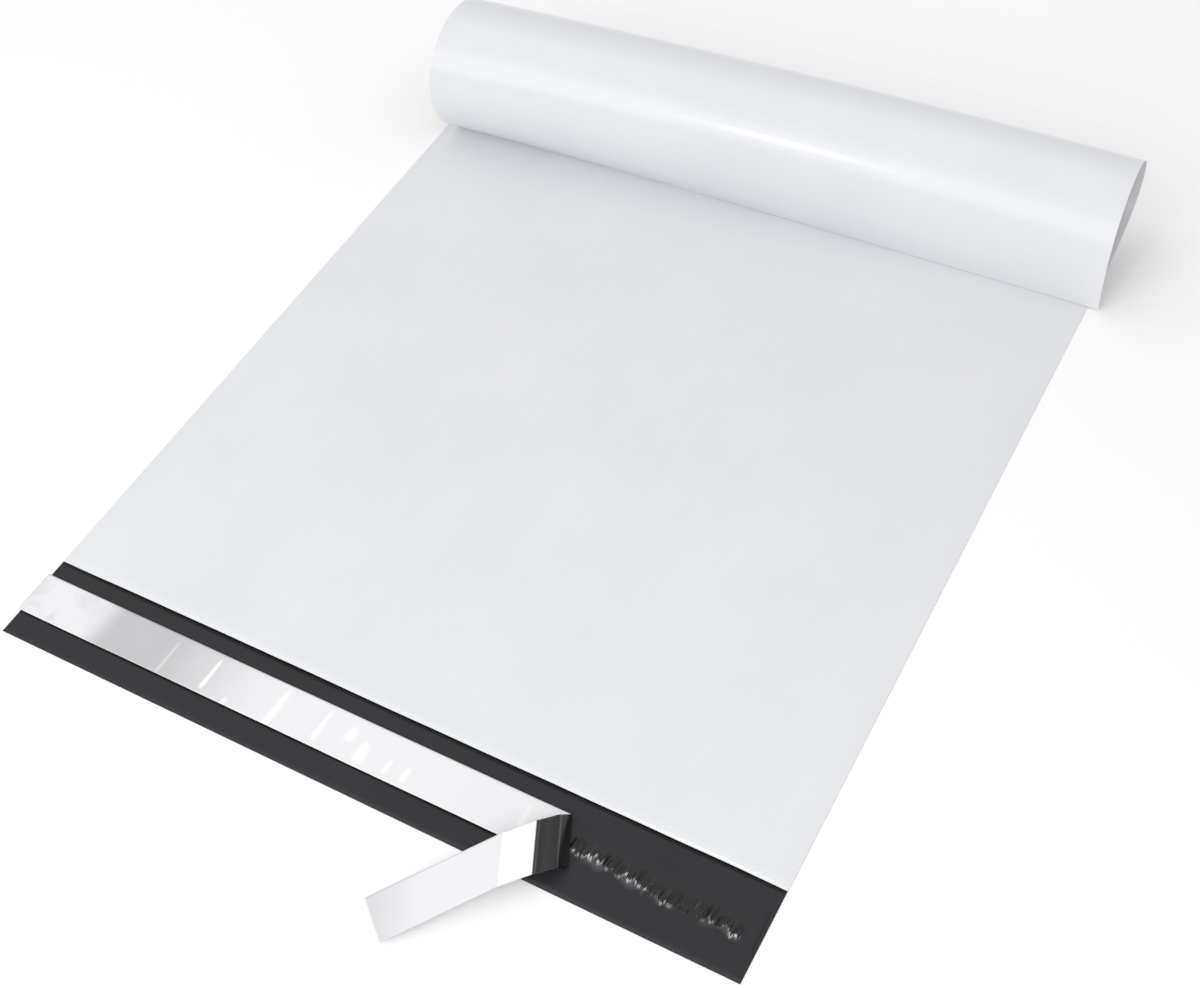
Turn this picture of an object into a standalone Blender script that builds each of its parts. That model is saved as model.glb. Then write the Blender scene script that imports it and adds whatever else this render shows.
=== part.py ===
"""Poly mailer bag: one folded film web with its adhesive strip and a half-peeled release liner.

Metres, +Z up.  The bag lies on a level surface with its open flap towards -Y, and its
closed end is curled up and over so that the bottom fold rests on the bag's own face.
"""

import math

import bmesh
import bpy
from mathutils import Vector

# ---- driving dimensions -------------------------------------------------------------
BAG_WIDTH = 0.406
FLAP_LENGTH = 0.048
POCKET_LENGTH = 0.618
FILM = 0.0000635
POCKET_GAP = 0.0003
REST_GAP = 0.0003

# The curl: where its bottom fold lands and how far it creeps sideways.  Its section is six
# arcs of equal length, given as the degrees that each turns through at either side: the
# lead-in, the lower back, the upper back, the crown, the front and the part underneath.
# The left end is a round roll and the right end a teardrop.
LANDING_LEFT = 0.4295
LANDING_RIGHT = 0.4440
CURL_CREEP = 0.006
ARCS_LEFT = (10.0, 70.0, 70.0, 60.0, 65.0, 60.0)
ARCS_RIGHT = (0.0, 35.0, 80.0, 75.0, 45.0, 25.0)
CURL_STEPS = 96
CURL_ROWS = 36
CURL_COLUMNS = 8
CURL_LEAD = 0.0200

# The adhesive band and the liner over it, measured back from the flap's front edge.
ADHESIVE_FRONT = 0.0160
ADHESIVE_WIDTH = 0.0200
ADHESIVE_INSET = 0.0020
ADHESIVE_THICKNESS = 0.00010
LINER_FRONT = 0.0140
LINER_WIDTH = 0.0240
LINER_OVERHANG = 0.0012
LINER_THICKNESS = 0.00005

# The peel: the liner folds back about a slanting line, and its free tail is a bridge
# that stands up from the fold and comes down to the surface in front of the flap.
PEEL_X = 0.3030
PEEL_ANGLE = math.radians(65.0)
FOLD_RADIUS = 0.0006
FOLD_STEPS = 8
TAIL_STEEP = (0.0081, math.radians(53.0))
TAIL_SHOULDER = (0.0100, math.radians(14.0))
TAIL_TOP = (0.0145, math.radians(3.0))
TAIL_CLEARANCE = 0.0003

# How the work is done: the tolerance of a cut, the least upright part of a level face's
# normal, and the search for the turn that brings the curl's end back to its start level.
CUT_TOLERANCE = 1e-7
LEVEL_NORMAL = 0.9
TIGHTNESS_RANGE = (0.85, 1.15)
TIGHTNESS_HALVINGS = 40

BAG_LENGTH = FLAP_LENGTH + POCKET_LENGTH
BAG_THICKNESS = 2.0 * FILM + POCKET_GAP
LINER_BASE = FILM + ADHESIVE_THICKNESS + 2.0 * REST_GAP


def clear_scene():
    """Remove whatever objects the file opened with."""
    for item in list(bpy.data.objects):
        bpy.data.objects.remove(item, do_unlink=True)


def make_material(name, color, roughness):
    """A Principled material with a plain colour."""
    material = bpy.data.materials.new(name)
    material.use_nodes = True
    shader = material.node_tree.nodes["Principled BSDF"]
    shader.inputs["Base Color"].default_value = (*color, 1.0)
    shader.inputs["Roughness"].default_value = roughness
    shader.inputs["Metallic"].default_value = 0.0
    return material


def add_object(name, bm, material):
    """Turn a bmesh into a named object."""
    mesh = bpy.data.meshes.new(name)
    bm.to_mesh(mesh)
    bm.free()
    mesh.materials.append(material)
    item = bpy.data.objects.new(name, mesh)
    bpy.context.collection.objects.link(item)
    return item


def box(bm, low, high):
    """A box between two corners."""
    made = bmesh.ops.create_cube(bm, size=1.0)["verts"]
    size = Vector(high) - Vector(low)
    bmesh.ops.scale(bm, vec=size, verts=made)
    bmesh.ops.translate(bm, vec=(Vector(high) + Vector(low)) / 2.0, verts=made)
    return made


def cut(bm, point, normal):
    """Score the whole mesh along a plane."""
    everything = bm.verts[:] + bm.edges[:] + bm.faces[:]
    bmesh.ops.bisect_plane(
        bm, geom=everything, plane_co=point, plane_no=normal, dist=CUT_TOLERANCE
    )


def split_level_quads(bm):
    """Give every level quad the same diagonal, so that stacked plies bend alike."""
    for face in list(bm.faces):
        if len(face.verts) != 4 or abs(face.normal.z) < LEVEL_NORMAL:
            continue
        near = min(face.verts, key=lambda v: v.co.x + v.co.y)
        far = max(face.verts, key=lambda v: v.co.x + v.co.y)
        bmesh.utils.face_split(face, near, far)


# ---- the curl -----------------------------------------------------------------------
def bend_at(share, across):
    """How sharply the film bends a share of the way along the curl, in radians for its length."""
    index = int(share * len(ARCS_LEFT))
    turn = ARCS_LEFT[index] * (1.0 - across) + ARCS_RIGHT[index] * across
    return math.radians(turn) * len(ARCS_LEFT)


def unit_curl(across, tightness):
    """The curl's section at a length of one: rows of y, z and heading."""
    step = 1.0 / CURL_STEPS
    rows = [(0.0, 0.0, 0.0)]
    for index in range(CURL_STEPS):
        y, z, heading = rows[-1]
        turn = tightness * bend_at((index + 0.5) * step, across) * step
        middle = heading + turn / 2.0
        rows.append((y + math.cos(middle) * step, z + math.sin(middle) * step, heading + turn))
    return rows


def closed_curl(across):
    """The section whose far end comes back down to the level it left."""
    low, high = TIGHTNESS_RANGE
    for _ in range(TIGHTNESS_HALVINGS):
        middle = (low + high) / 2.0
        if unit_curl(across, middle)[-1][1] > 0.0:
            low = middle
        else:
            high = middle
    return unit_curl(across, (low + high) / 2.0)


def roll_point(point):
    """Take a point of the flat bag to its place on the curled one."""
    across = min(max(point.x / BAG_WIDTH, 0.0), 1.0)
    rows = closed_curl(across)
    landing = LANDING_LEFT * (1.0 - across) + LANDING_RIGHT * across
    start = (landing - BAG_LENGTH * rows[-1][0]) / (1.0 - rows[-1][0])
    length = BAG_LENGTH - start
    share = min((point.y - start) / length, 1.0)
    if share <= 0.0:
        return point.copy()
    place = share * CURL_STEPS
    index = min(int(place), CURL_STEPS - 1)
    part = place - index
    y, z, heading = (a * (1.0 - part) + b * part for a, b in zip(rows[index], rows[index + 1]))
    lift = (BAG_THICKNESS + REST_GAP) * share
    return Vector((
        point.x + CURL_CREEP * share * share,
        start + length * y - math.sin(heading) * point.z,
        length * z + lift + math.cos(heading) * point.z,
    ))


def make_bag_film(material):
    """The web: a back panel that runs on as the flap, and a front panel sealed to it."""
    bm = bmesh.new()
    box(bm, (0.0, FLAP_LENGTH, 0.0), (BAG_WIDTH, BAG_LENGTH, BAG_THICKNESS))
    bm.faces.ensure_lookup_table()
    mouth = min(bm.faces, key=lambda f: f.calc_center_median().y)
    bmesh.ops.inset_region(bm, faces=[mouth], thickness=FILM, use_even_offset=True)
    inner = bmesh.ops.extrude_discrete_faces(bm, faces=[mouth])["faces"][0]
    bmesh.ops.translate(bm, vec=(0.0, POCKET_LENGTH - FILM, 0.0), verts=inner.verts)
    lip = min(
        (f for f in bm.faces if abs(f.calc_center_median().y - FLAP_LENGTH) < CUT_TOLERANCE),
        key=lambda f: f.calc_center_median().z,
    )
    edge = bmesh.ops.extrude_discrete_faces(bm, faces=[lip])["faces"][0]
    bmesh.ops.translate(bm, vec=(0.0, -FLAP_LENGTH, 0.0), verts=edge.verts)
    first = min(LANDING_LEFT, LANDING_RIGHT) - CURL_LEAD
    for row in range(CURL_ROWS):
        y = first + (BAG_LENGTH - FILM - first) * row / CURL_ROWS
        cut(bm, (0.0, y, 0.0), (0.0, 1.0, 0.0))
    for column in range(1, CURL_COLUMNS):
        cut(bm, (BAG_WIDTH * column / CURL_COLUMNS, 0.0, 0.0), (1.0, 0.0, 0.0))
    bmesh.ops.recalc_face_normals(bm, faces=bm.faces)
    split_level_quads(bm)
    bmesh.ops.triangulate(bm, faces=bm.faces)
    for vertex in bm.verts:
        vertex.co = roll_point(vertex.co)
    return add_object("bag_film", bm, material)


# ---- adhesive and liner -------------------------------------------------------------
def make_adhesive_strip(material):
    """The hot-melt band on the flap's inside."""
    bm = bmesh.new()
    base = FILM + REST_GAP
    box(
        bm,
        (ADHESIVE_INSET, ADHESIVE_FRONT, base),
        (BAG_WIDTH - ADHESIVE_INSET, ADHESIVE_FRONT + ADHESIVE_WIDTH, base + ADHESIVE_THICKNESS),
    )
    return add_object("adhesive_strip", bm, material)


def liner_stations(reach):
    """Stations along the peeled liner: distance, m, z and the way that its face leans."""
    stretches = [
        (length, math.pi - slope) for length, slope in (TAIL_STEEP, TAIL_SHOULDER, TAIL_TOP)
    ]
    rows = []
    for index in range(FOLD_STEPS + 1):
        turn = stretches[0][1] * index / FOLD_STEPS
        rows.append((
            FOLD_RADIUS * turn,
            FOLD_RADIUS * math.sin(turn),
            FOLD_RADIUS * (1.0 - math.cos(turn)),
            turn,
        ))
    for length, heading in stretches:
        distance, m, z, _ = rows[-1]
        rows.append((
            distance + length,
            m + length * math.cos(heading),
            z + length * math.sin(heading),
            heading,
        ))
    distance, m, z, _ = rows[-1]
    left = reach - distance
    fall = math.asin((z + LINER_BASE - TAIL_CLEARANCE) / left)
    rows.append((
        reach,
        m - left * math.cos(fall),
        z - left * math.sin(fall),
        math.pi + fall,
    ))
    # At a crease the face leans half way between the two stretches that meet there.
    for index in range(FOLD_STEPS + 1, len(rows) - 1):
        distance, m, z, heading = rows[index]
        rows[index] = (distance, m, z, (heading + rows[index + 1][3]) / 2.0)
    return rows


def peel_point(point, corner, along, across, rows):
    """Take a point of the flat liner to its place on the peeled one."""
    offset = Vector((point.x - corner.x, point.y - corner.y, 0.0))
    distance = offset.dot(across)
    if distance <= 0.0:
        return point.copy()
    index = 0
    while index < len(rows) - 2 and rows[index + 1][0] < distance:
        index += 1
    before, after = rows[index], rows[index + 1]
    part = (distance - before[0]) / (after[0] - before[0])
    m, z, lean = (a * (1.0 - part) + b * part for a, b in zip(before[1:], after[1:]))
    rise = point.z - LINER_BASE
    place = corner + along * offset.dot(along) + across * (m - math.sin(lean) * rise)
    return Vector((place.x, place.y, LINER_BASE + z + math.cos(lean) * rise))


def make_release_liner(material):
    """The liner: flat over the adhesive, then folded back with its tail on the surface."""
    bm = bmesh.new()
    back = LINER_FRONT + LINER_WIDTH
    end = BAG_WIDTH + LINER_OVERHANG
    box(
        bm,
        (-LINER_OVERHANG, LINER_FRONT, LINER_BASE),
        (end, back, LINER_BASE + LINER_THICKNESS),
    )
    corner = Vector((PEEL_X, back, 0.0))
    along = Vector((math.cos(PEEL_ANGLE), -math.sin(PEEL_ANGLE), 0.0))
    across = Vector((math.sin(PEEL_ANGLE), math.cos(PEEL_ANGLE), 0.0))
    reach = Vector((end - corner.x, 0.0, 0.0)).dot(across)
    rows = liner_stations(reach)
    for row in rows[:-1]:
        cut(bm, corner + across * row[0], across)
    bmesh.ops.triangulate(bm, faces=bm.faces)
    for vertex in bm.verts:
        vertex.co = peel_point(vertex.co, corner, along, across, rows)
    return add_object("release_liner", bm, material)


def centre_on_floor(items):
    """Put the origin under the middle of the whole object."""
    points = [v.co for item in items for v in item.data.vertices]
    low = Vector([min(p[axis] for p in points) for axis in range(3)])
    high = Vector([max(p[axis] for p in points) for axis in range(3)])
    shift = Vector((-(low.x + high.x) / 2.0, -(low.y + high.y) / 2.0, -low.z))
    for item in items:
        for vertex in item.data.vertices:
            vertex.co += shift


def main():
    clear_scene()
    film = make_material("white_film", (0.80, 0.81, 0.83), 0.35)
    glue = make_material("hot_melt", (0.05, 0.05, 0.055), 0.15)
    liner = make_material("liner_film", (0.88, 0.88, 0.90), 0.12)
    items = [
        make_bag_film(film),
        make_adhesive_strip(glue),
        make_release_liner(liner),
    ]
    centre_on_floor(items)


main()
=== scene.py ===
"""Poly mailer bag: the film web, its adhesive band and its half-peeled liner, finished for show."""

import math

import bmesh
import bpy
from mathutils import Matrix, Vector, noise


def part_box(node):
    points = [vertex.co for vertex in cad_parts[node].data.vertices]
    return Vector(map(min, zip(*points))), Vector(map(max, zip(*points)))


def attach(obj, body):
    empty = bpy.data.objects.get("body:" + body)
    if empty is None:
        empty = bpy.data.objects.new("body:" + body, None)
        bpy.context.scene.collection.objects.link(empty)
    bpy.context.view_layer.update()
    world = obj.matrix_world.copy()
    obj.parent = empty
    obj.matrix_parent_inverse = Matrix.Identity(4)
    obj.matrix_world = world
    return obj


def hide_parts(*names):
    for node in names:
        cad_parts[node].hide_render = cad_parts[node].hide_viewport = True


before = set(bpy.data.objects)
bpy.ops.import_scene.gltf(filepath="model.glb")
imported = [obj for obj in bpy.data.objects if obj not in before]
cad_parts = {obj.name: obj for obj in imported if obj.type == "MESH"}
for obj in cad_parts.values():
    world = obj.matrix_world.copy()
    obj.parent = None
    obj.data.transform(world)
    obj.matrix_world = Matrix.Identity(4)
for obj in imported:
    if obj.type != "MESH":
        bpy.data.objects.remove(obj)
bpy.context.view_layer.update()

# ---- sizes, in metres ---------------------------------------------------------------
BAG_WIDTH = 0.406
FLAP_LENGTH = 0.048
POCKET_LENGTH = 0.618
BAG_LENGTH = FLAP_LENGTH + POCKET_LENGTH
FILM = 0.0000635
POCKET_GAP = 0.0003
BAG_THICKNESS = 2.0 * FILM + POCKET_GAP
REST_GAP = 0.0003
WELD_THICKNESS = 0.00016
WELD_SLOPE = 0.005
RIPPLE = 0.0006
RIPPLE_EASE = 0.03
GAPE_RISE = 0.0004
GAPE_DEPTH = 0.022
MOUTH_WANDER = 0.0005
MOUTH_CORNER = 0.002

LANDING_LEFT = 0.4295
LANDING_RIGHT = 0.4440
CURL_CREEP = 0.006
ARCS_LEFT = (10.0, 70.0, 70.0, 60.0, 65.0, 60.0)
ARCS_RIGHT = (0.0, 35.0, 80.0, 75.0, 45.0, 25.0)
TIGHTNESS_RANGE = (0.85, 1.15)
TIGHTNESS_HALVINGS = 40
CURL_STEPS = 96

ADHESIVE_FRONT = 0.0160
ADHESIVE_WIDTH = 0.0200
ADHESIVE_INSET = 0.0020
ADHESIVE_THICKNESS = 0.00010
LINER_FRONT = 0.0140
LINER_WIDTH = 0.0240
LINER_OVERHANG = 0.0012
LINER_THICKNESS = 0.00005
LINER_BASE = FILM + ADHESIVE_THICKNESS + 2.0 * REST_GAP

PEEL_X = 0.3030
PEEL_ANGLE = math.radians(65.0)
FOLD_RADIUS = 0.0006
TAIL_STEEP = (0.0081, math.radians(53.0))
TAIL_SHOULDER = (0.0100, math.radians(14.0))
TAIL_TOP = (0.0145, math.radians(3.0))
TAIL_CLEARANCE = 0.0003
CREASE_LENGTH = 0.0016
WRINKLE_RISE = 0.00016
WRINKLE_SLANT = 0.0006
LINER_WAVE = 0.00012
LINER_LIFT = 0.00035
LINER_SETTLE = 0.006

LINER_BACK = LINER_FRONT + LINER_WIDTH
DARK_FACE_END = 0.0193
BRIGHT_FACE_END = 0.0338
FACE_EDGE = 0.0003
STREAK_PLACE = 0.0080

EDGE_COLUMNS = (0.0, 0.0008, 0.0025, 0.005)
EDGE_END = 0.009
COLUMNS = 80
FLAP_ROWS = 12
FLAT_ROWS = 70
CURL_ROWS = 110
LINER_COLUMNS = 620
LINER_ROWS = 22
FOLD_STEPS = 16
CREASE_STEPS = 4
TOUCH = 1e-6

film_low, film_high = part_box("bag_film")
CORNER = Vector((film_low.x, film_low.y, 0.0))


# ---- shader maths -------------------------------------------------------------------
# The colour sockets of a Mix node.
MIX_SHARE = 0
MIX_FIRST = 6
MIX_SECOND = 7
MIX_COLOUR = 2


class Number:
    """A number socket that sums can be written on."""

    def __init__(self, finish, socket):
        self.finish = finish
        self.socket = socket

    def apply(self, operation, first, second):
        return self.finish.node(
            "ShaderNodeMath", {"operation": operation}, {0: first, 1: second}
        )

    def __add__(self, other):
        return self.apply("ADD", self, other)

    def __radd__(self, other):
        return self.apply("ADD", other, self)

    def __sub__(self, other):
        return self.apply("SUBTRACT", self, other)

    def __rsub__(self, other):
        return self.apply("SUBTRACT", other, self)

    def __mul__(self, other):
        return self.apply("MULTIPLY", self, other)

    def __rmul__(self, other):
        return self.apply("MULTIPLY", other, self)

    def smaller(self, other):
        return self.apply("MINIMUM", self, other)

    def larger(self, other):
        return self.apply("MAXIMUM", self, other)

    def size(self):
        return self.apply("ABSOLUTE", self, 0.0)

    def ramp(self, low, high):
        """Nought below low, one above high and a smooth slope between."""
        return self.finish.node(
            "ShaderNodeMapRange",
            {"interpolation_type": "SMOOTHSTEP", "clamp": True},
            {"Value": self, "From Min": low, "From Max": high, "To Min": 0.0, "To Max": 1.0},
        )


class Finish:
    """A material under construction."""

    def __init__(self, name):
        self.material = bpy.data.materials.new(name)
        self.material.use_nodes = True
        self.tree = self.material.node_tree
        self.shader = self.tree.nodes["Principled BSDF"]

    def feed(self, socket, value):
        """Set a socket to a number or a colour, or link it to one."""
        if isinstance(value, Number):
            self.tree.links.new(value.socket, socket)
        else:
            socket.default_value = value

    def node(self, kind, settings=None, inputs=None, output=0):
        """A node of a kind, with its settings made first and its sockets fed after."""
        made = self.tree.nodes.new(kind)
        for key, value in (settings or {}).items():
            setattr(made, key, value)
        for key, value in (inputs or {}).items():
            self.feed(made.inputs[key], value)
        return Number(self, made.outputs[output])

    def place(self):
        return self.node("ShaderNodeTexCoord", output="Object")

    def axes(self, vector):
        split = self.node("ShaderNodeSeparateXYZ", inputs={0: vector})
        sockets = split.socket.node.outputs
        return tuple(Number(self, sockets[index]) for index in range(3))

    def stretch(self, vector, scale, turn=0.0):
        return self.node(
            "ShaderNodeMapping",
            inputs={"Vector": vector, "Scale": scale, "Rotation": (0.0, 0.0, turn)},
        )

    def cloud(self, vector, scale, detail=2.0, roughness=0.5, distortion=0.0):
        return self.node(
            "ShaderNodeTexNoise",
            inputs={
                "Vector": vector,
                "Scale": scale,
                "Detail": detail,
                "Roughness": roughness,
                "Distortion": distortion,
            },
        )

    def blend(self, share, first, second):
        """A colour between two, by a share."""
        sockets = {MIX_SHARE: share, MIX_FIRST: first, MIX_SECOND: second}
        return self.node("ShaderNodeMix", {"data_type": "RGBA"}, sockets, output=MIX_COLOUR)

    def bump(self, height, distance, strength=1.0):
        normal = self.node(
            "ShaderNodeBump",
            inputs={"Height": height, "Distance": distance, "Strength": strength},
        )
        self.set("Normal", normal)

    def set(self, name, value):
        self.feed(self.shader.inputs[name], value)


DARK_TINT = (1.0, 0.97, 1.12)
GLUE_TINT = (1.0, 0.98, 1.04)
LINER_TINT = (0.985, 0.985, 1.01)


def grey(level, tint=(1.0, 1.0, 1.0)):
    return tuple(level * part for part in tint) + (1.0,)


# ---- finishes -----------------------------------------------------------------------
def white_film_finish():
    """The outside of the web: white satin film, very faintly cloudy and drawn along its length."""
    finish = Finish("white_film")
    place = finish.place()
    clouds = finish.cloud(place, 14.0, detail=3.0, roughness=0.55)
    drawn = finish.cloud(finish.stretch(place, (260.0, 9.0, 260.0)), 1.0, detail=2.0)
    tone = (clouds * 0.8 + drawn * 0.2).ramp(0.3, 0.7)
    white = grey(0.775, (0.985, 0.993, 1.028))
    shade = grey(0.750, (0.983, 0.992, 1.030))
    finish.set("Base Color", finish.blend(tone, shade, white))
    finish.set("Roughness", 0.18 + clouds * 0.08)
    fine = finish.cloud(place, 900.0, detail=2.0)
    finish.bump(clouds * 0.7 + drawn * 0.2 + fine * 0.02, 0.0008, 0.2)
    finish.set("IOR", 1.5)
    finish.set("Coat Weight", 0.12)
    finish.set("Coat Roughness", 0.15)
    return finish.material


def charcoal(finish, place):
    """The dark film's tone and grain: its colour, with painted shade in two crevices, and its
    height.
    """
    clouds = finish.cloud(place, 30.0, detail=3.0)
    drawn = finish.cloud(finish.stretch(place, (420.0, 12.0, 420.0)), 1.0, detail=2.0)
    tone = (clouds * 0.6 + drawn * 0.4).ramp(0.3, 0.7)
    colour = finish.blend(tone, grey(0.0185, DARK_TINT), grey(0.0215, DARK_TINT))
    # Painted shade in the crevices: a painted shadow under the front panel's lip and along the
    # liner's near edge.
    x, y, _ = finish.axes(place)
    wander = (finish.cloud(finish.stretch(place, (24.0, 0.0, 0.0)), 1.0) - 0.5) * 0.0009
    along = x - CORNER.x
    back = y - CORNER.y + wander
    lip = back.ramp(FLAP_LENGTH - 0.0022, FLAP_LENGTH - 0.0014)
    under = back.ramp(LINER_FRONT - 0.0013, LINER_FRONT - 0.0007)
    under = under * (1.0 - along.ramp(PEEL_X + 0.004, PEEL_X + 0.012))
    under = under * (1.0 - back.ramp(LINER_FRONT + 0.002, LINER_FRONT + 0.003))
    # The painted shade is near black wherever the lip and under masks are set.
    return finish.blend(lip.larger(under), colour, grey(0.002)), drawn * 0.5 + clouds * 0.5


def dark_film_finish():
    """The inside of the web: charcoal film with a low sheen and painted shade in its crevices."""
    finish = Finish("dark_film")
    colour, grain = charcoal(finish, finish.place())
    finish.set("Base Color", colour)
    finish.set("Roughness", 0.5)
    finish.set("Specular IOR Level", 0.32)
    finish.bump(grain, 0.0004, 0.2)
    return finish.material


def adhesive_finish():
    """Hot-melt over the dark film: the same tone, with darker ragged strings where it has pulled up
    and painted highlights on them.
    """
    finish = Finish("hot_melt")
    place = finish.place()
    colour, grain = charcoal(finish, place)
    clump = finish.node("ShaderNodeAttribute", {"attribute_name": "clump"}, output="Fac")
    gap = finish.node("ShaderNodeAttribute", {"attribute_name": "gap"}, output="Fac")
    strokes = finish.cloud(finish.stretch(place, (300.0, 26.0, 1.0), 0.16), 1.0, detail=5.0)
    fine = finish.cloud(finish.stretch(place, (1300.0, 90.0, 1.0), 0.12), 1.0, detail=2.0)
    patch = finish.cloud(finish.stretch(place, (70.0, 60.0, 1.0)), 1.0, detail=2.0)
    ragged = gap - (strokes - 0.5) * 13.0 - (fine - 0.5) * 5.0 - (patch - 0.5) * 5.0
    flare = patch.ramp(0.46, 0.60)
    # Painted highlight: a bright line along the torn fringe.
    line = (1.0 - ragged.size() * 0.9).larger(0.0) * fine.ramp(0.40, 0.58) * flare * clump
    body = clump * ragged.ramp(0.0, 0.8) * (1.0 - (gap + (strokes - 0.5) * 16.0).ramp(5.0, 11.0))
    # Painted highlights along the strings.
    strings = body * strokes.ramp(0.47, 0.55) * fine.ramp(0.52, 0.66)
    # Painted glow: a lighter patch by the fringe.
    glow = clump * flare * (gap + 3.5).ramp(0.0, 3.5) * (1.0 - ragged.ramp(0.0, 0.4))
    tone = finish.blend(glow * 0.8, colour, grey(0.085, GLUE_TINT))
    tone = finish.blend(body * 0.85, tone, grey(0.003))
    tone = finish.blend(strings * 0.3, tone, grey(0.14, GLUE_TINT))
    tone = finish.blend(line, tone, grey(0.72, (1.0, 0.99, 1.02)))
    finish.set("Base Color", tone)
    finish.set("Roughness", 0.5 - body * 0.36)
    finish.set("Specular IOR Level", 0.32)
    finish.set("Coat Weight", body * 0.25)
    finish.set("Coat Roughness", 0.12)
    finish.bump(grain * 0.3 + (strokes + fine * 0.5) * body, 0.0006, 0.4)
    return finish.material


# Where the liner is wrinkled: the place along it, the half width, the low and high shares of the
# liner's width that it spans, and its strength.
WRINKLES = (
    (0.085, 0.0010, 0.0, 1.0, 0.5),
    (0.100, 0.0010, 0.5, 0.9, 0.3),
    (0.110, 0.0010, 0.1, 1.0, 1.0),
    (0.125, 0.0010, 0.0, 0.3, 0.9),
    (0.150, 0.0015, 0.0, 1.0, 1.0),
    (0.175, 0.0015, 0.1, 1.0, 0.8),
    (0.190, 0.0030, 0.4, 0.9, 0.8),
    (0.200, 0.0025, 0.1, 0.7, 1.0),
    (0.215, 0.0015, 0.1, 0.6, 0.8),
    (0.225, 0.0015, 0.1, 0.6, 0.9),
    (0.285, 0.0020, 0.3, 1.0, 0.6),
)


def liner_finish():
    """Glossy release film: near white, greyer at the left, with painted highlights along its
    wrinkles.
    """
    finish = Finish("release_film")
    flat = finish.node("ShaderNodeUVMap", {"uv_map": "strip"})
    x, _, _ = finish.axes(flat)
    stretched = finish.stretch(flat, (70.0, 45.0, 1.0))
    cloudy = finish.cloud(stretched, 1.0, detail=4.0, distortion=0.8)
    patch = x.ramp(0.034, 0.052) * (1.0 - x.ramp(0.070, 0.150))
    veil = (1.0 - x.ramp(0.02, 0.05)) * cloudy.ramp(0.42, 0.62) * 0.35
    shade = ((patch + veil).smaller(1.0) * (0.85 + cloudy * 0.3)).smaller(1.0)
    wrinkle_highlight = finish.node("ShaderNodeAttribute", {"attribute_name": "wrinkle"}, output="Fac")
    white = grey(0.82, (0.99, 0.992, 1.012))
    base = finish.blend(shade, white, grey(0.52, (0.985, 0.99, 1.01)))
    # Painted highlights: the colour turns near white along the wrinkles.
    finish.set("Base Color", finish.blend(wrinkle_highlight.ramp(0.1, 1.1), base, grey(0.97)))
    finish.set("Roughness", 0.09 + shade * 0.14)
    finish.set("Coat Weight", 0.3)
    finish.set("Coat Roughness", 0.06)
    finish.bump(cloudy * shade, 0.0004, 0.12)
    finish.set("IOR", 1.5)
    return finish.material


def liner_back_finish():
    """The liner's release side, its tones painted reflections: dark by the fold, then bright, then
    off white.
    """
    finish = Finish("release_film_back")
    flat = finish.node("ShaderNodeUVMap", {"uv_map": "strip"})
    x, y, _ = finish.axes(flat)
    fold = (x - PEEL_X) * math.sin(PEEL_ANGLE) + (y - LINER_BACK) * math.cos(PEEL_ANGLE)
    cloudy = finish.cloud(finish.stretch(flat, (30.0, 30.0, 1.0)), 1.0, detail=3.0)
    # Painted reflection: the face by the fold is painted dark for the dark flap it would mirror.
    dark = 1.0 - fold.ramp(DARK_FACE_END - FACE_EDGE, DARK_FACE_END + FACE_EDGE)
    # Painted highlights on that face: a streak, a line near its end and a faint sheen.
    painted_crease_streak = (1.0 - (fold - STREAK_PLACE).size() * 1400.0).larger(0.0)
    edge = (1.0 - (fold - DARK_FACE_END + 0.0012).size() * 1100.0).larger(0.0) * 0.5
    sheen = fold.ramp(0.008, 0.014) * (1.0 - fold.ramp(0.014, 0.018)) * 0.14
    painted_dark_reflection = finish.blend(
        painted_crease_streak.larger(edge).larger(sheen),
        grey(0.010, (1.0, 0.98, 1.1)),
        grey(0.11, (1.0, 0.99, 1.05)),
    )
    # Painted reflection: the next face is painted bright, and the rest turns greyer towards its
    # end.
    tail = 1.0 - fold.ramp(BRIGHT_FACE_END - FACE_EDGE, BRIGHT_FACE_END + FACE_EDGE)
    painted_fade = finish.blend(
        (fold.ramp(0.062, 0.098) + (cloudy - 0.5) * 0.3).larger(0.0).smaller(1.0),
        grey(0.82, LINER_TINT),
        grey(0.66, LINER_TINT),
    )
    finish.set("Base Color", finish.blend(dark, finish.blend(tail, painted_fade, grey(0.97)), painted_dark_reflection))
    finish.set("Roughness", 0.12)
    finish.set("IOR", 1.5)
    return finish.material


# ---- the curl -----------------------------------------------------------------------
def bend_at(share, across):
    """How sharply the film bends a share of the way along the curl, in radians for its length."""
    index = int(share * len(ARCS_LEFT))
    turn = ARCS_LEFT[index] * (1.0 - across) + ARCS_RIGHT[index] * across
    return math.radians(turn) * len(ARCS_LEFT)


def unit_curl(across, tightness):
    """The curl's section at a length of one: rows of y, z and heading."""
    step = 1.0 / CURL_STEPS
    rows = [(0.0, 0.0, 0.0)]
    for index in range(CURL_STEPS):
        y, z, heading = rows[-1]
        turn = tightness * bend_at((index + 0.5) * step, across) * step
        middle = heading + turn / 2.0
        rows.append((y + math.cos(middle) * step, z + math.sin(middle) * step, heading + turn))
    return rows


def closed_curl(across):
    """The section whose far end comes back down to the level it left."""
    low, high = TIGHTNESS_RANGE
    for _ in range(TIGHTNESS_HALVINGS):
        middle = (low + high) / 2.0
        if unit_curl(across, middle)[-1][1] > 0.0:
            low = middle
        else:
            high = middle
    return unit_curl(across, (low + high) / 2.0)


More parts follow.
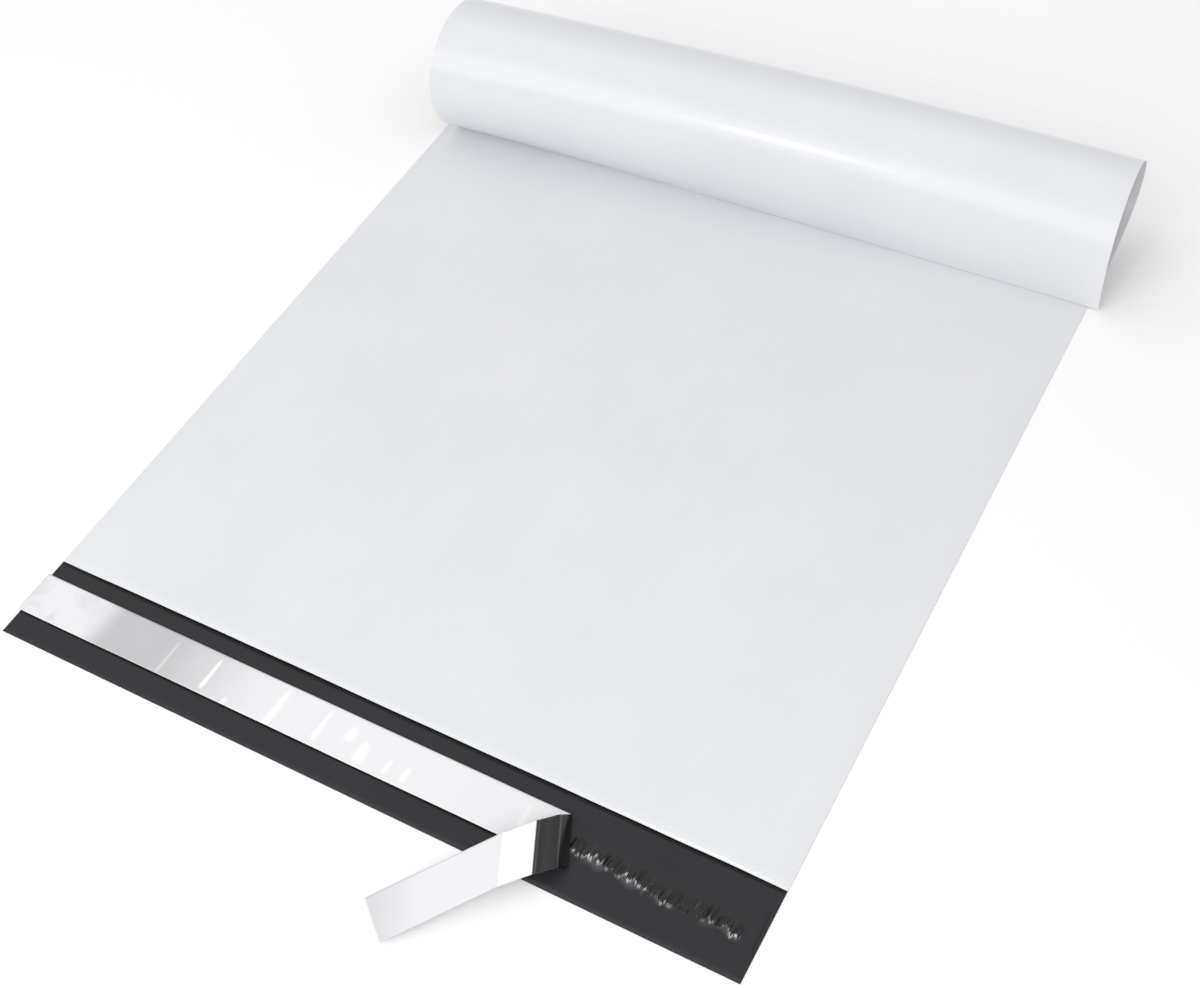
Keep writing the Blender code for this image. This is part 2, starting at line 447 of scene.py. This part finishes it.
class Curl:
    """The curl's sections, worked out once for each column."""

    def __init__(self):
        self.sections = {}

    def section(self, across):
        key = round(across, 6)
        if key not in self.sections:
            self.sections[key] = closed_curl(across)
        return self.sections[key]

    def start(self, across):
        rows = self.section(across)
        landing = LANDING_LEFT * (1.0 - across) + LANDING_RIGHT * across
        return (landing - BAG_LENGTH * rows[-1][0]) / (1.0 - rows[-1][0])

    def place(self, x, y, height):
        """Take a point of the flat bag to its place on the curled one."""
        across = min(max(x / BAG_WIDTH, 0.0), 1.0)
        start = self.start(across)
        length = BAG_LENGTH - start
        share = min((y - start) / length, 1.0)
        if share <= 0.0:
            return Vector((x, y, height))
        rows = self.section(across)
        spot = share * CURL_STEPS
        index = min(int(spot), CURL_STEPS - 1)
        part = spot - index
        near, far = rows[index], rows[index + 1]
        along, rise, heading = (a * (1.0 - part) + b * part for a, b in zip(near, far))
        lift = (BAG_THICKNESS + REST_GAP) * share
        return Vector((
            x + CURL_CREEP * share * share,
            start + length * along - math.sin(heading) * height,
            length * rise + lift + math.cos(heading) * height,
        ))


curl = Curl()


# ---- making pieces ------------------------------------------------------------------
def smooth_step(value, low, high):
    part = min(max((value - low) / (high - low), 0.0), 1.0)
    return part * part * (3.0 - 2.0 * part)


def waves(first, second, seed):
    """Smooth noise between minus one and one."""
    return noise.noise(Vector((first, second, seed)))


def add_piece(name, bm, materials, sharp=35.0):
    """Make a mesh object of the bmesh, smooth but for edges sharper than an angle in degrees."""
    mesh = bpy.data.meshes.new(name)
    bm.to_mesh(mesh)
    bm.free()
    for material in materials:
        mesh.materials.append(material)
    piece = bpy.data.objects.new(name, mesh)
    bpy.context.collection.objects.link(piece)
    mesh.shade_smooth()
    mesh.set_sharp_from_angle(angle=math.radians(sharp))
    return piece


def thicken(piece, thickness, inner=0, rim=0):
    """Give a sheet its film thickness, on its inner side."""
    solid = piece.modifiers.new("film", "SOLIDIFY")
    solid.thickness = thickness
    solid.offset = -1.0
    solid.use_even_offset = False
    solid.material_offset = inner
    solid.material_offset_rim = rim


def grid_sheet(bm, xs, ys):
    """A level sheet with its lines at the given places."""
    made = bmesh.ops.create_grid(
        bm, x_segments=len(xs) - 1, y_segments=len(ys) - 1, size=0.5
    )["verts"]
    for vertex in made:
        column = round((vertex.co.x + 0.5) * (len(xs) - 1))
        row = round((vertex.co.y + 0.5) * (len(ys) - 1))
        vertex.co = Vector((xs[column], ys[row], 0.0))
    return made


def spaced(low, high, count):
    return [low + (high - low) * index / count for index in range(count + 1)]


def pocket_height(x):
    """How far the front panel stands over the surface, thin at the welds."""
    edge = min(x, BAG_WIDTH - x)
    full = smooth_step(edge, 0.0, WELD_SLOPE)
    return WELD_THICKNESS + (BAG_THICKNESS - WELD_THICKNESS) * full


def front_ripple(x, y):
    """The front panel's gentle waves and its gaping mouth, none at its sides or folded end."""
    inside = smooth_step(min(x, BAG_WIDTH - x), 0.0, RIPPLE_EASE)
    inside *= smooth_step(BAG_LENGTH - y, 0.0, RIPPLE_EASE)
    calm = 1.0 - 0.75 * smooth_step(y, LANDING_LEFT - RIPPLE_EASE, LANDING_LEFT + 0.01)
    broad = waves(x * 9.0, y * 6.0, 1.7)
    gape = 1.0 - smooth_step(y, FLAP_LENGTH, FLAP_LENGTH + GAPE_DEPTH)
    lip = 0.6 + 0.8 * waves(x * 26.0, 4.1, 0.3)
    return inside * (0.5 * RIPPLE * (broad + 1.0) * calm + GAPE_RISE * gape * max(lip, 0.15))


def mouth_line(x):
    """The front panel's cut edge, which wanders a little."""
    return MOUTH_WANDER * waves(x * 22.0, 9.0, 2.0)


def make_bag_film():
    """The folded web: two grids joined along their sides and folded end, then curled."""
    bm = bmesh.new()
    xs = list(EDGE_COLUMNS) + spaced(EDGE_END, BAG_WIDTH - EDGE_END, COLUMNS)
    xs += [BAG_WIDTH - place for place in reversed(EDGE_COLUMNS)]
    curl_start = min(curl.start(0.0), curl.start(1.0))
    ys_pocket = spaced(FLAP_LENGTH, curl_start, FLAT_ROWS)
    ys_pocket += spaced(curl_start, BAG_LENGTH, CURL_ROWS)[1:]
    ys_back = spaced(0.0, FLAP_LENGTH, FLAP_ROWS) + ys_pocket[1:]
    back = grid_sheet(bm, xs, ys_back)
    bmesh.ops.reverse_faces(bm, faces=bm.faces)
    front = grid_sheet(bm, xs, ys_pocket)
    for vertex in front:
        vertex.co.z = BAG_THICKNESS
    bm.normal_update()

    def rim(verts):
        """A panel's outer edges behind the mouth."""
        chosen = set(verts)
        outer = [edge for edge in bm.edges if edge.is_boundary and edge.verts[0] in chosen]
        behind = FLAP_LENGTH + TOUCH
        return [edge for edge in outer if max(v.co.y for v in edge.verts) > behind]

    sides = rim(back) + rim(front)
    bmesh.ops.bridge_loops(bm, edges=sides)
    for vertex in bm.verts:
        x, y = vertex.co.x, vertex.co.y
        upper = vertex.co.z > BAG_THICKNESS / 2.0
        height = 0.0
        if upper:
            height = pocket_height(x) + front_ripple(x, y)
            if y < FLAP_LENGTH + TOUCH and MOUTH_CORNER < x < BAG_WIDTH - MOUTH_CORNER:
                y += mouth_line(x)
        vertex.co = curl.place(x, y, height)
    bmesh.ops.recalc_face_normals(bm, faces=bm.faces)
    under = Vector((BAG_WIDTH / 2.0, 0.1, 0.0))
    lowest = min(bm.faces, key=lambda face: (face.calc_center_median() - under).length)
    if lowest.normal.z > 0.0:
        bmesh.ops.reverse_faces(bm, faces=bm.faces)
    bmesh.ops.translate(bm, vec=CORNER, verts=bm.verts)
    piece = add_piece("mailer_film", bm, [white_film_finish(), dark_film_finish()])
    thicken(piece, FILM, inner=1, rim=1)
    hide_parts("bag_film")
    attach(piece, "root")


# ---- adhesive -----------------------------------------------------------------------
# The places where the adhesive has pulled up: left, right, and its lower fringe at each.
CLUMPS = (
    (0.310, 0.349, 0.022, 0.020),
    (0.348, 0.372, 0.019, 0.018),
    (0.371, 0.397, 0.020, 0.018),
)
CLUMP_DEPTH = 0.0110
CLUMPS_LEFT = 0.3085
CLUMPS_RIGHT = 0.3985
FRINGE_WANDER = 0.0014
ADHESIVE_SKIN = 0.00002
ADHESIVE_LIFT = 0.00005
PULL_RISE = 0.0013
STROKE_LEAN = 0.16
STROKE_WANDER = 0.0006
# The gap attribute is in millimetres, and far off where there is no clump.
MILLIMETRES = 1000.0
FAR_OFF = -20.0
ADHESIVE_CROWN = 0.004
ADHESIVE_COLUMNS = (40, 400, 6)
ADHESIVE_ROWS = 88


def pulled_up(x, y):
    """The adhesive's rise at a place, its clump's strength and how far past the fringe it is."""
    strength, gap, body = 0.0, FAR_OFF, 0.0
    for left, right, fringe_left, fringe_right in CLUMPS:
        part = (x - left) / (right - left)
        if part < -0.1 or part > 1.1:
            continue
        fringe = fringe_left + (fringe_right - fringe_left) * part
        fringe += FRINGE_WANDER * waves(x * 200.0, 3.0, 1.0)
        top = fringe + CLUMP_DEPTH * (0.75 + 0.35 * waves(x * 120.0, 8.0, 2.0))
        ends = smooth_step(part, -0.04, 0.08) * (1.0 - smooth_step(part, 0.92, 1.04))
        if ends > strength:
            strength = ends
            gap = (y - fringe) * MILLIMETRES
            body = smooth_step(y, fringe - 0.0004, fringe + 0.0006)
            body *= 1.0 - smooth_step(y, top - 0.004, top)
    if body * strength <= 0.0:
        return 0.0, strength, gap
    lean = x - STROKE_LEAN * (y - 0.02) + STROKE_WANDER * waves(x * 90.0, y * 60.0, 4.0)
    stroke = 1.0 - abs(waves(lean * 330.0, y * 26.0, 5.0)) * 2.6
    fine = 1.0 - abs(waves(lean * 900.0, y * 60.0, 9.0)) * 2.0
    rough = max(0.7 * stroke + 0.3 * fine, 0.0)
    return body * strength * rough * PULL_RISE, strength, gap


def make_adhesive():
    """The hot-melt band: one fine sheet, raised in strings where it has pulled up."""
    bm = bmesh.new()
    left, middle, right = ADHESIVE_COLUMNS
    back = ADHESIVE_FRONT + ADHESIVE_WIDTH
    xs = spaced(ADHESIVE_INSET, CLUMPS_LEFT, left)
    xs += spaced(CLUMPS_LEFT, CLUMPS_RIGHT, middle)[1:]
    xs += spaced(CLUMPS_RIGHT, BAG_WIDTH - ADHESIVE_INSET, right)[1:]
    grid_sheet(bm, xs, spaced(ADHESIVE_FRONT, back, ADHESIVE_ROWS))
    clump = bm.verts.layers.float.new("clump")
    gap = bm.verts.layers.float.new("gap")
    for vertex in bm.verts:
        x, y = vertex.co.x, vertex.co.y
        rise, vertex[clump], vertex[gap] = pulled_up(x, y)
        edge = min(y - ADHESIVE_FRONT, back - y)
        crown = ADHESIVE_THICKNESS * smooth_step(edge, 0.0, ADHESIVE_CROWN)
        vertex.co.z = FILM + ADHESIVE_LIFT + crown + rise
    bm.normal_update()
    bmesh.ops.translate(bm, vec=CORNER, verts=bm.verts)
    piece = add_piece("hot_melt_band", bm, [adhesive_finish()], sharp=60.0)
    thicken(piece, ADHESIVE_SKIN)
    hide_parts("adhesive_strip")
    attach(piece, "root")


# ---- liner --------------------------------------------------------------------------
def wrinkle_at(x, share):
    """How much of a wrinkle there is at a place on the flat liner."""
    total = 0.0
    for place, half, low, high, weight in WRINKLES:
        slant = place + WRINKLE_SLANT * (share - 0.5)
        across = math.exp(-(((x - slant) / (half * (1.6 - 0.8 * share))) ** 2))
        start = smooth_step(share, low - 0.04, low + 0.08)
        taper = start * (1.0 - smooth_step(share, high - 0.25, high))
        total = max(total, across * taper * weight)
    return total


def tail_rows(reach):
    """The tail's shape across the fold line: distance, m, z and heading, its creases rounded."""
    faces = (TAIL_STEEP, TAIL_SHOULDER, TAIL_TOP)
    headings = [math.pi - slope for _, slope in faces]
    rows = [(0.0, 0.0, 0.0, 0.0)]
    for index in range(1, FOLD_STEPS + 1):
        angle = headings[0] * index / FOLD_STEPS
        rows.append((
            FOLD_RADIUS * angle,
            FOLD_RADIUS * math.sin(angle),
            FOLD_RADIUS * (1.0 - math.cos(angle)),
            angle,
        ))
    # The creases' corner points, then the last fall to the surface.
    corners = [rows[-1][:3]]
    for (length, _), heading in zip(faces, headings):
        distance, m, z = corners[-1]
        corners.append((
            distance + length,
            m + length * math.cos(heading),
            z + length * math.sin(heading),
        ))
    distance, m, z = corners[-1]
    left = reach - distance
    fall = math.asin((z + LINER_BASE - TAIL_CLEARANCE) / left)
    headings.append(math.pi + fall)
    corners.append((reach, m - left * math.cos(fall), z - left * math.sin(fall)))
    half = CREASE_LENGTH / 2.0
    for corner, before, after in zip(corners[1:], headings, headings[1:]):
        distance, m, z = corner
        middle = (before + after) / 2.0
        for step in range(CREASE_STEPS + 1):
            part = step / CREASE_STEPS
            offset = CREASE_LENGTH * part - half
            heading = before if offset < 0.0 else after
            soften = (half - abs(offset)) * 0.25 * math.sin((after - before) / 2.0)
            rows.append((
                distance + offset,
                m + offset * math.cos(heading) + soften * math.sin(middle),
                z + offset * math.sin(heading) + soften * math.cos(middle),
                before + (after - before) * part,
            ))
    rows.append((*corners[-1], headings[-1]))
    return rows


def make_liner():
    """The liner: one flat strip, cut along its creases, wrinkled and then folded back."""
    bm = bmesh.new()
    end = BAG_WIDTH + LINER_OVERHANG
    xs = spaced(-LINER_OVERHANG, end, LINER_COLUMNS)
    grid_sheet(bm, xs, spaced(LINER_FRONT, LINER_BACK, LINER_ROWS))
    corner = Vector((PEEL_X, LINER_BACK, 0.0))
    along = Vector((math.cos(PEEL_ANGLE), -math.sin(PEEL_ANGLE), 0.0))
    across = Vector((math.sin(PEEL_ANGLE), math.cos(PEEL_ANGLE), 0.0))
    reach = Vector((end - corner.x, 0.0, 0.0)).dot(across)
    rows = tail_rows(reach)
    for row in rows[:-1]:
        bmesh.ops.bisect_plane(
            bm,
            geom=bm.verts[:] + bm.edges[:] + bm.faces[:],
            plane_co=corner + across * row[0],
            plane_no=across,
            dist=TOUCH,
        )
    strip = bm.loops.layers.uv.new("strip")
    wrinkle = bm.verts.layers.float.new("wrinkle")
    for face in bm.faces:
        for loop in face.loops:
            loop[strip].uv = (loop.vert.co.x, loop.vert.co.y)
    for vertex in bm.verts:
        x, y = vertex.co.x, vertex.co.y
        share = (y - LINER_FRONT) / LINER_WIDTH
        amount = wrinkle_at(x, share)
        vertex[wrinkle] = min(amount, 1.0)
        wave = LINER_WAVE * waves(x * 28.0, y * 20.0, 6.0)
        near = 1.0 - smooth_step(share, 0.0, 0.35)
        lift = LINER_LIFT * near * max(waves(x * 17.0, 2.0, 8.0) + 0.3, 0.0)
        height = WRINKLE_RISE * amount + wave + lift
        offset = Vector((x - corner.x, y - corner.y, 0.0))
        distance = offset.dot(across)
        if distance <= 0.0:
            settle = smooth_step(-distance, 0.0, LINER_SETTLE)
            vertex.co = Vector((x, y, LINER_BASE + height * settle))
            continue
        index = 0
        while index < len(rows) - 2 and rows[index + 1][0] < distance:
            index += 1
        before, after = rows[index], rows[index + 1]
        part = (distance - before[0]) / max(after[0] - before[0], 1e-9)
        m = before[1] + (after[1] - before[1]) * part
        z = before[2] + (after[2] - before[2]) * part
        place = corner + along * offset.dot(along) + across * m
        vertex.co = Vector((place.x, place.y, LINER_BASE + z))
    bm.normal_update()
    bmesh.ops.translate(bm, vec=CORNER, verts=bm.verts)
    piece = add_piece("liner_strip", bm, [liner_finish(), liner_back_finish()], sharp=50.0)
    thicken(piece, LINER_THICKNESS, inner=1)
    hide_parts("release_liner")
    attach(piece, "root")


# ---- floor, light and camera --------------------------------------------------------
FLOOR_SIZE = 12.0
FLOOR_DROP = 0.0003
WORLD_LIGHT = 0.76
# Each softbox's name, place, aim, width and height, and power.
SOFTBOXES = (
    ("overhead", (-0.25, 0.5, 1.7), (-0.05, 0.1, 0.0), (1.1, 1.2), 1.5),
    ("overhead_left", (-1.5, 0.4, 1.7), (-0.2, 0.0, 0.0), (1.4, 1.4), 1.5),
    ("front", (-0.2, -1.5, 1.2), (0.0, 0.1, 0.0), (2.2, 1.2), 13.0),
    ("band", (-0.05, -0.40, 1.10), (0.0, 0.22, 0.05), (1.6, 0.09), 0.38),
    ("glint", (-0.15, -1.30, 1.05), (0.1, -0.2, 0.0), (0.10, 0.10), 1.3),
)
CAMERA_PLACE = CORNER + Vector((0.5354, -0.2872, 0.7218))
CAMERA_AIM = CORNER + Vector((0.2261, 0.2080, 0.0))
CAMERA_ROLL = math.radians(4.6)
CAMERA_LENS = 53.8


def make_floor():
    bm = bmesh.new()
    bmesh.ops.create_grid(bm, x_segments=2, y_segments=2, size=FLOOR_SIZE / 2.0)
    finish = Finish("studio_floor")
    grain = finish.cloud(finish.place(), 3.0)
    finish.set("Base Color", finish.blend(grain, grey(0.98), grey(0.985)))
    finish.set("Roughness", 0.9)
    finish.set("Specular IOR Level", 0.0)
    floor = add_piece("studio_floor", bm, [finish.material])
    floor.data.transform(Matrix.Translation((0.0, 0.0, -FLOOR_DROP)))


def add_softbox(name, place, aim, size, power):
    light = bpy.data.lights.new(name, "AREA")
    light.shape = "RECTANGLE"
    light.size, light.size_y = size
    light.energy = power
    lamp = bpy.data.objects.new(name, light)
    lamp.location = place
    lamp.rotation_euler = (Vector(aim) - Vector(place)).to_track_quat("-Z", "Y").to_euler()
    bpy.context.collection.objects.link(lamp)


def make_light():
    world = bpy.data.worlds.new("studio")
    world.use_nodes = True
    backdrop = world.node_tree.nodes["Background"]
    backdrop.inputs["Color"].default_value = (1.0, 1.0, 1.0, 1.0)
    backdrop.inputs["Strength"].default_value = WORLD_LIGHT
    bpy.context.scene.world = world
    for softbox in SOFTBOXES:
        add_softbox(*softbox)


def make_camera():
    data = bpy.data.cameras.new("camera")
    data.lens = CAMERA_LENS
    data.sensor_width = 36.0
    data.clip_start = 0.01
    camera = bpy.data.objects.new("camera", data)
    level = (CAMERA_AIM - CAMERA_PLACE).to_track_quat("-Z", "Y").to_matrix()
    turned = level @ Matrix.Rotation(-CAMERA_ROLL, 3, "Z")
    camera.matrix_world = Matrix.Translation(CAMERA_PLACE) @ turned.to_4x4()
    bpy.context.collection.objects.link(camera)
    bpy.context.scene.camera = camera


make_camera()
make_floor()
make_light()
make_bag_film()
make_adhesive()
make_liner()
bpy.context.scene.view_settings.view_transform = "Standard"
